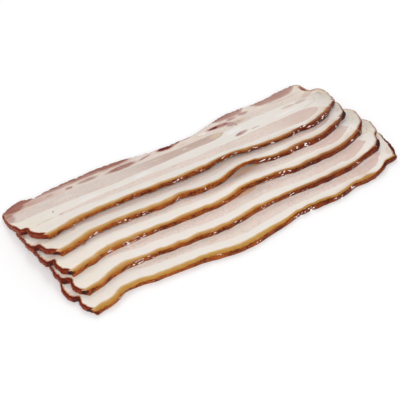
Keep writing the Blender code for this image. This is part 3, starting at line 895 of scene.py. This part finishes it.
def glistening(name, x):
    """How strongly highlights are painted on the crust along the rind, 0 to 1."""
    glisten = np.zeros(len(x))
    for centre, half, strength in PAINTED_GLINTS[name]:
        away = np.abs(x - centre) / half
        glisten = np.maximum(glisten, strength * (1 - smoothstep(PAINTED_GLINT_CORE, PAINTED_GLINT_END, away)))
    return glisten


def dressed_slice(name, seed, top_rind, upper_rind):
    """A fine mesh of one slice, with its layers, edges and stains as attributes."""
    points, faces, rind, depth, inset, side = build_shape(name, seed)
    x, y = points[:, 0], points[:, 1]
    rise = rise_from(rind, x, y) - CLIMB_OF_WALL * depth * side[:, RIND]
    shares, into_lean, like_x, like_y = layer_shares(name, x, rise, top_rind)
    gold = curve(RIM[name], x)
    crust = curve(RIM[name], x, 2)
    toward_fat = np.clip((rise - crust) / np.maximum(gold - crust, LEAST_GOLD), -3, 3)
    seen_x = x - SIDE_OF_WALL * depth
    seen_rise = rise_from(rind, seen_x, y) - CLIMB_OF_WALL * depth
    char = patch_field(seen_x, seen_rise, CHAR[name])
    scorch = patch_field(seen_x, seen_rise, SCORCH[name])
    pepper = patch_field(x, y, PEPPER if name == TOP_SLICE else [])
    wall = (depth > 0) * 1.0

    piece = new_piece(name, points, faces)
    mesh = piece.data
    paint(mesh, "layers", *shares)
    # The first number of the edges is where painted light lightens the shade under the slice above
    paint(mesh, "edges", painted_fill_under_upper(x, rise, rind, upper_rind), inset / CM, wall, toward_fat)
    paint(mesh, "sides", side)
    paint_stains_and_painted_light(mesh, name, x, rise, like_x, like_y)
    # The second number of the crusts is how strongly highlights are painted on the crust
    paint(mesh, "crusts", curve(DARKNESS[name], x), glistening(name, x), char, pepper)
    paint(mesh, "places", like_x / DM, np.clip(into_lean, 0, CM) / CM, rise / CM, scorch)
    return piece, rind


class Number:
    """A socket that carries a number and takes part in arithmetic."""

    def __init__(self, board, socket):
        self.board = board
        self.socket = socket

    def with_other(self, operation, other, turned=False):
        """The two numbers, or the other way round, taken together by a maths node."""
        pair = (other, self) if turned else (self, other)
        return self.board.number("ShaderNodeMath", {"operation": operation}, dict(enumerate(pair)))

    def __add__(self, other):
        return self.with_other("ADD", other)

    def __sub__(self, other):
        return self.with_other("SUBTRACT", other)

    def __rsub__(self, other):
        return self.with_other("SUBTRACT", other, turned=True)

    def __mul__(self, other):
        return self.with_other("MULTIPLY", other)

    def __truediv__(self, other):
        return self.with_other("DIVIDE", other)

    __radd__ = __add__
    __rmul__ = __mul__

    def between(self, low, high):
        """0 at low, 1 at high and smooth between."""
        return self.board.number("ShaderNodeMapRange", {"interpolation_type": "SMOOTHSTEP"},
                                 {"Value": self, "From Min": low, "From Max": high})


class Board:
    """The nodes of one material."""

    def __init__(self, name):
        self.material = bpy.data.materials.new(name)
        self.material.use_nodes = True
        self.tree = self.material.node_tree
        self.shader = self.tree.nodes["Principled BSDF"]

    def node(self, kind, settings=None, inputs=None):
        """A new node with its settings made and its inputs fed."""
        node = self.tree.nodes.new(kind)
        for key, value in (settings or {}).items():
            setattr(node, key, value)
        for key, value in (inputs or {}).items():
            self.feed(node.inputs[key], value)
        return node

    def feed(self, socket, value):
        """Links a socket to another one, or sets it to a plain value."""
        if isinstance(value, Number):
            value = value.socket
        if isinstance(value, bpy.types.NodeSocket):
            self.tree.links.new(value, socket)
        else:
            socket.default_value = value

    def number(self, kind, settings=None, inputs=None, output=0):
        return Number(self, self.node(kind, settings, inputs).outputs[output])

    def four(self, name):
        """The four numbers that a mesh stores under a name."""
        stored = self.node("ShaderNodeAttribute", {"attribute_name": name, "attribute_type": "GEOMETRY"})
        parts = self.node("ShaderNodeSeparateColor", inputs={0: stored.outputs["Color"]})
        return [Number(self, parts.outputs[n]) for n in range(3)] + [Number(self, stored.outputs["Alpha"])]

    def grain(self, stretch, shift, size, detail):
        """Noise about 0, with lumps of a size in millimetres, stretched along the slices."""
        place = self.node("ShaderNodeTexCoord").outputs["Object"]
        turned = self.node("ShaderNodeMapping", inputs={"Vector": place, "Location": shift,
                                                        "Scale": (stretch, 1.0, 1.0)})
        return self.number("ShaderNodeTexNoise", {"noise_dimensions": "3D"},
                           {"Vector": turned.outputs[0], "Scale": 1 / (size * MM), "Detail": detail}) - 0.5

    def blend(self, share, first, second):
        """Mixes two colours."""
        mix = self.node("ShaderNodeMix", {"data_type": "RGBA"}, {"Factor": share})
        for socket, value in zip([s for s in mix.inputs if s.type == "RGBA"], (first, second)):
            self.feed(socket, value)
        return [s for s in mix.outputs if s.type == "RGBA"][0]

    def bands(self, value, stops):
        """A colour from a number, by colours at places from 0 to 1."""
        node = self.node("ShaderNodeValToRGB", inputs={"Fac": value})
        ramp = node.color_ramp
        while len(ramp.elements) < len(stops):
            ramp.elements.new(0.5)
        for element, (place, colour) in zip(ramp.elements, stops):
            element.position = place
            element.color = colour
        return node.outputs["Color"]


class Surface:
    """The numbers that a slice stores, and the noises that its colours share."""

    def __init__(self, board, number):
        # The first number of the edges is where painted light lightens the shade under the slice above
        self.contact, inset, self.wall, self.toward_fat = board.four("edges")
        self.near, self.right, self.far, self.left = board.four("sides")
        # The second number of the crusts is how strongly highlights are painted on the crust
        self.darkness, self.glisten, self.char, self.pepper = board.four("crusts")
        self.along, into_lean, self.rise, self.scorch = board.four("places")
        shift = (GRAIN_SHIFT[0] * number, GRAIN_SHIFT[1] * number, 0.0)
        for grain, (stretch, size, detail) in GRAINS.items():
            setattr(self, grain, board.grain(stretch, shift, size, detail))
        self.into_lean = into_lean * CM
        self.inset = inset * CM + self.ragged * 1.4 + self.flecks * 0.8
        self.skin = self.wall.between(0.05, 0.6)


def layers_of_meat(board, at):
    """Fat and lean by the shares of the layers, deeper in colour to the right."""
    along, fibres, clouds, flecks = at.along, at.fibres, at.clouds, at.flecks
    streak, band, seam, far_lean = (share + at.ragged * 0.3 for share in board.four("layers"))
    streak = streak.between(0.34, 0.66)
    band = band.between(0.36, 0.64)
    far_lean = far_lean.between(0.2, 0.8)
    creamy = 1 - along.between(-1.1, -0.7)
    meat = board.blend(creamy * 0.45, FAT, FAT_CREAM)
    meat = board.blend(along.between(1.16, 1.46) * 0.9, meat, LOBE_FAT)
    meat = board.blend(clouds.between(-0.1, 0.25) * 0.35, meat, FAT_LIGHT)
    seam_colour = board.blend(1 - along.between(-1.05, -0.6), SEAM, SEAM_PINK)
    meat = board.blend(seam.between(0.3, 0.8), meat, seam_colour)
    meat = board.blend(streak, meat, board.blend(along.between(0.6, 1.05), STREAK, STREAK_DEEP))
    meat = board.blend(band, meat, board.blend(along.between(-0.45, 0.1), BAND, BAND_DEEP))
    marbled = seam.between(0.3, 0.8) * along.between(-0.2, 0.3)
    meat = board.blend((fibres + flecks * 0.5).between(0.0, 0.25) * marbled * 0.8, meat, FAT_CREAM)
    meat = board.blend((fibres * -1.0 + clouds * 0.6).between(0.05, 0.3) * marbled * 0.5, meat, FAR_MEAT)
    lean = (streak + band).between(0.0, 1.0)
    meat = board.blend((fibres + clouds * 0.5).between(0.0, 0.3) * (lean * 0.35 + 0.06), meat, FIBRE_PALE)
    meat = board.blend((flecks + fibres * 0.5).between(-0.05, 0.25) * lean * 0.4, meat, LEAN_SPECK)
    deep = (at.into_lean + fibres * 3.0 + clouds * 3.0).between(0.2, 3.6)
    far_meat = board.blend(along.between(0.5, 0.8), FAR_MEAT_DEEP, FAR_MEAT_RIGHT)
    far_meat = board.blend(deep, FAR_MEAT, far_meat)
    far_meat = board.blend((fibres + flecks * 0.6).between(-0.05, 0.3) * 0.5, far_meat, FAR_MEAT)
    return board.blend(far_lean, meat, far_meat), far_lean


def stained(board, at, meat, brown_or_warm_shade):
    """Adds the darker muscle ends, bloodspots, warm stains, bright fat with painted highlights, and on the
    lower slices painted warm shade, to the layers.
    """
    mauve, red, peach_and_warm_shade, line = board.four("stains")
    white_fat_and_glints, yellow, dusky, brown_and_warm_shade = board.four("tints")
    torn = at.ragged * 0.6 + at.fibres * 0.35
    softly_torn = torn * 1.5 + 1.0
    torn = torn * 3.0 + 1.0
    # Bright fat, and painted highlights on it
    meat = board.blend((white_fat_and_glints * softly_torn).between(0.2, 0.9) * 0.85, meat, BRIGHT_FAT_AND_GLINT)
    meat = board.blend((yellow * softly_torn).between(0.15, 0.9) * 0.75, meat, YELLOW_FAT)
    meat = board.blend((peach_and_warm_shade * softly_torn).between(0.15, 0.9) * 0.8, meat, PEACH)
    meat = board.blend((dusky * softly_torn).between(0.1, 1.1) * 0.9, meat, DUSKY)
    lean = board.blend(at.fibres.between(-0.1, 0.25) * 0.55, MAUVE, MAUVE_PALE)
    meat = board.blend((mauve * softly_torn).between(0.1, 1.0), meat, lean)
    meat = board.blend((red * softly_torn).between(0.0, 0.6) * 0.6, meat, PINK_LEAN)
    meat = board.blend((red * (torn + at.fibres * 4.0 + at.flecks * 2.0)).between(0.3, 1.5), meat, RED_LEAN)
    # Brown lines on the top slice; painted warm shade on the lower slices
    meat = board.blend(brown_and_warm_shade * 0.65, meat, brown_or_warm_shade)
    return board.blend(line * (at.ragged + 0.5).between(0.3, 0.6) * 0.55, meat, LINE_COLOUR)


def browned_rims(board, at, meat, far_lean, corner_crust):
    """Browns the cut face along the far edge and the ends, darkest outside."""
    dried = (1 - at.inset.between(0.1, 1.6)) * at.far * (far_lean * 0.6 + 0.4)
    meat = board.blend(dried * 0.9, meat, DRIED_LEAN)
    slim = at.rise.between(2.2, 3.4) * 0.7
    meat = board.blend((1 - (at.inset + slim).between(1.1, 2.2)) * at.left, meat, END_EDGE)
    corner = (1 - at.rise.between(0.2, 1.1)) * corner_crust
    end_tan = board.blend(corner, END_TAN, GOLD_DARK)
    meat = board.blend((1 - (at.inset - corner * 2.2).between(0.6, 2.4)) * at.right * 0.9, meat, end_tan)
    left_dark = (1 - (at.inset + slim).between(0.9, 1.4)) * at.left
    right_inset = at.inset + at.rise.between(1.2, 2.0) * 0.6 - corner * 1.6
    right_dark = (1 - right_inset.between(0.5, 1.1)) * at.right
    return board.blend(left_dark + right_dark, meat, END_CRUST)


def smoked_rind(board, at, meat, yellowing):
    """Adds the rind, golden on the cut face and brown outside, and warms the fat beside it."""
    darkness, flecks, lumps = at.darkness, at.flecks, at.lumps
    toward = at.toward_fat + at.ragged * 0.5
    gold_place = (toward + 0.2) / 1.6
    gold = board.blend(darkness.between(0.55, 1.0), board.bands(gold_place, GOLD_BANDS),
                       board.bands(gold_place, DARK_GOLD_BANDS))
    gold = board.blend(yellowing * (1 - toward.between(0.5, 1.0)), gold, GOLD_YELLOW)
    crust = board.blend(darkness, RIND_LIGHT, RIND_DARK)
    # Lighter orange mottles, partly the crust's own colour, partly painted highlights
    orange_and_highlight = (flecks - lumps * 0.6).between(0.02, 0.2) * (1 - darkness * 0.6)
    crust = board.blend(orange_and_highlight * 0.6, crust, RIND_ORANGE_AND_HIGHLIGHT)
    crust = board.blend((at.crumbs + lumps * 0.8).between(0.0, 0.14) * 0.85, crust, RIND_PIT)
    warm_fat = (1 - toward.between(1.0, 3.0)) * at.along.between(0.4, 0.9) * at.near.between(0.2, 0.6)
    meat = board.blend(warm_fat * 0.5, meat, WARM_FAT)
    rim = board.blend((toward + flecks * 0.35).between(-0.16, 0.06), crust, gold)
    rind_zone = (1 - toward.between(0.75, 1.2)) * (at.near + at.left * (1 - at.wall)).between(0.3, 0.7)
    return board.blend(rind_zone, meat, rim)


def outer_sides(board, at, colour):
    """Colours the walls of the ends and the far edge."""
    # End crust mottled with a lighter colour, partly painted highlights
    ends = board.blend(at.flecks.between(-0.1, 0.15), END_CRUST, END_CRUST_LIGHT_AND_HIGHLIGHT)
    right_side = board.blend(at.rise.between(0.9, 1.8) * 0.8 + at.flecks * 0.6, END_BROWN, END_TAN)
    far_side = board.blend(at.flecks.between(-0.15, 0.15), DRIED_LEAN, MAUVE)
    outer = board.blend(at.right, ends, right_side)
    outer = board.blend(at.far, outer, far_side)
    return board.blend(at.skin * (1 - at.near.between(0.3, 0.7)), colour, outer)


def burnt_spots(board, at, colour):
    """Adds scorched and burnt places on the crusts, and the pepper."""
    rind_zone = (1 - at.toward_fat.between(0.2, 0.9)) * at.near
    end_zone = (1 - at.inset.between(2.0, 2.8)) * (at.left + at.right)
    zone = (rind_zone + end_zone + at.skin).between(0.2, 0.5)
    colour = board.blend((at.scorch + at.flecks * 0.8).between(0.2, 0.7) * zone, colour, SCORCHED)
    colour = board.blend((at.char + at.crumbs * 1.5 * at.char).between(0.3, 0.65) * zone, colour, BURNT)
    return board.blend(at.pepper.between(0.3, 0.8) * 0.8, colour, PEPPER_BLACK)


def bacon(name, number):
    """Fat, lean streaks and smoked rind of one slice."""
    board = Board(name + "_meat")
    at = Surface(board, number)
    meat, far_lean = layers_of_meat(board, at)
    # Painted light: the shade under the slice above is lightened towards pale pink
    meat = board.blend(at.contact * 0.75, meat, PAINTED_FILL_LIGHT)
    # On the lower slices the brown patches are painted warm shade under the slice above
    meat = stained(board, at, meat, BROWN_LINE if name == TOP_SLICE else WARM_SHADE)
    meat = browned_rims(board, at, meat, far_lean, CORNER_CRUST[name])
    colour = smoked_rind(board, at, meat, GOLD_YELLOWING[name])
    colour = outer_sides(board, at, colour)
    colour = burnt_spots(board, at, colour)
    # Painted highlights: near-white specks on the crust, with a glossy coat on the same specks
    outside = (1 - at.toward_fat.between(-0.5, 0.2)) * at.near.between(0.4, 0.7)
    painted_glint = (at.sparks + at.glisten * 0.12 - 0.1).between(0.14, 0.17) * at.glisten.between(0.1, 0.5) * outside
    gloss = at.skin * 0.8 + outside * 0.2
    bumps = at.clouds * (1 - at.skin) * 0.5 + at.crumbs * at.skin * 2.0
    bump = board.node("ShaderNodeBump", inputs={"Height": bumps, "Strength": BUMP_STRENGTH,
                                                "Distance": BUMP_HEIGHT * MM})

    inputs = board.shader.inputs
    board.feed(inputs["Base Color"], board.blend(painted_glint, colour, PAINTED_GLINT))
    board.feed(inputs["Roughness"], FACE_ROUGHNESS - gloss * 0.2 + at.flecks * 0.2)
    board.feed(inputs["Coat Weight"], painted_glint * 0.8)
    board.feed(inputs["Normal"], bump.outputs[0])
    inputs["Subsurface Weight"].default_value = GLOW_SHARE
    inputs["Subsurface Radius"].default_value = GLOW_COLOURS
    inputs["Subsurface Scale"].default_value = GLOW_DEPTH * MM
    inputs["Coat Roughness"].default_value = WET_ROUGHNESS
    inputs["Specular IOR Level"].default_value = SHINE
    return board.material


def pale_floor():
    """A plain floor just beneath the slices."""
    bpy.ops.mesh.primitive_plane_add(size=FLOOR_SIZE, location=FLOOR_PLACE)
    floor = bpy.context.active_object
    floor.name = "floor"
    pale = Board("pale_floor")
    pale.shader.inputs["Base Color"].default_value = FLOOR_COLOUR
    pale.shader.inputs["Roughness"].default_value = FLOOR_ROUGHNESS
    floor.data.materials.append(pale.material)
    return floor


def soft_room():
    """Even light from all round."""
    world = bpy.data.worlds.new("soft_room")
    world.use_nodes = True
    room = world.node_tree.nodes["Background"].inputs
    room["Color"].default_value = ROOM_COLOUR
    room["Strength"].default_value = ROOM_STRENGTH
    bpy.context.scene.world = world


def softbox(name, place, size, power):
    """A square lamp that faces the middle of the scene."""
    bpy.ops.object.light_add(type="AREA", location=place)
    light = bpy.context.active_object
    light.name = name
    light.data.size = size
    light.data.energy = power
    light.rotation_euler = (-Vector(place)).to_track_quat("-Z", "Y").to_euler()


def camera_at_front_left():
    """The camera, looking down at the zero of the plan."""
    target = Vector((PLAN_ZERO[0], PLAN_ZERO[1], 0.0)) * MM
    bpy.ops.object.camera_add(location=target + CAMERA_SIDE * CAMERA_DISTANCE * MM)
    camera = bpy.context.active_object
    camera.rotation_euler = (-CAMERA_SIDE).to_track_quat("-Z", "Y").to_euler()
    camera.data.sensor_width = SENSOR
    camera.data.lens = FOCAL_PIXELS / FRAME_PIXELS * SENSOR
    camera.data.clip_start = NEAREST_SEEN
    bpy.context.scene.camera = camera


top_rind = four_smooth_edges(TOP_SLICE)[0]
upper_rind = None
for number, name in enumerate(NAMES):
    piece, upper_rind = dressed_slice(name, number, top_rind, upper_rind)
    piece.data.materials.append(bacon(name, number))
    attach(piece, "root")
    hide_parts(name)

floor = pale_floor()
soft_room()
for name, (place, size, power) in LAMPS.items():
    softbox(name, place, size, power)
camera_at_front_left()
bpy.context.scene.view_settings.view_transform = "Standard"
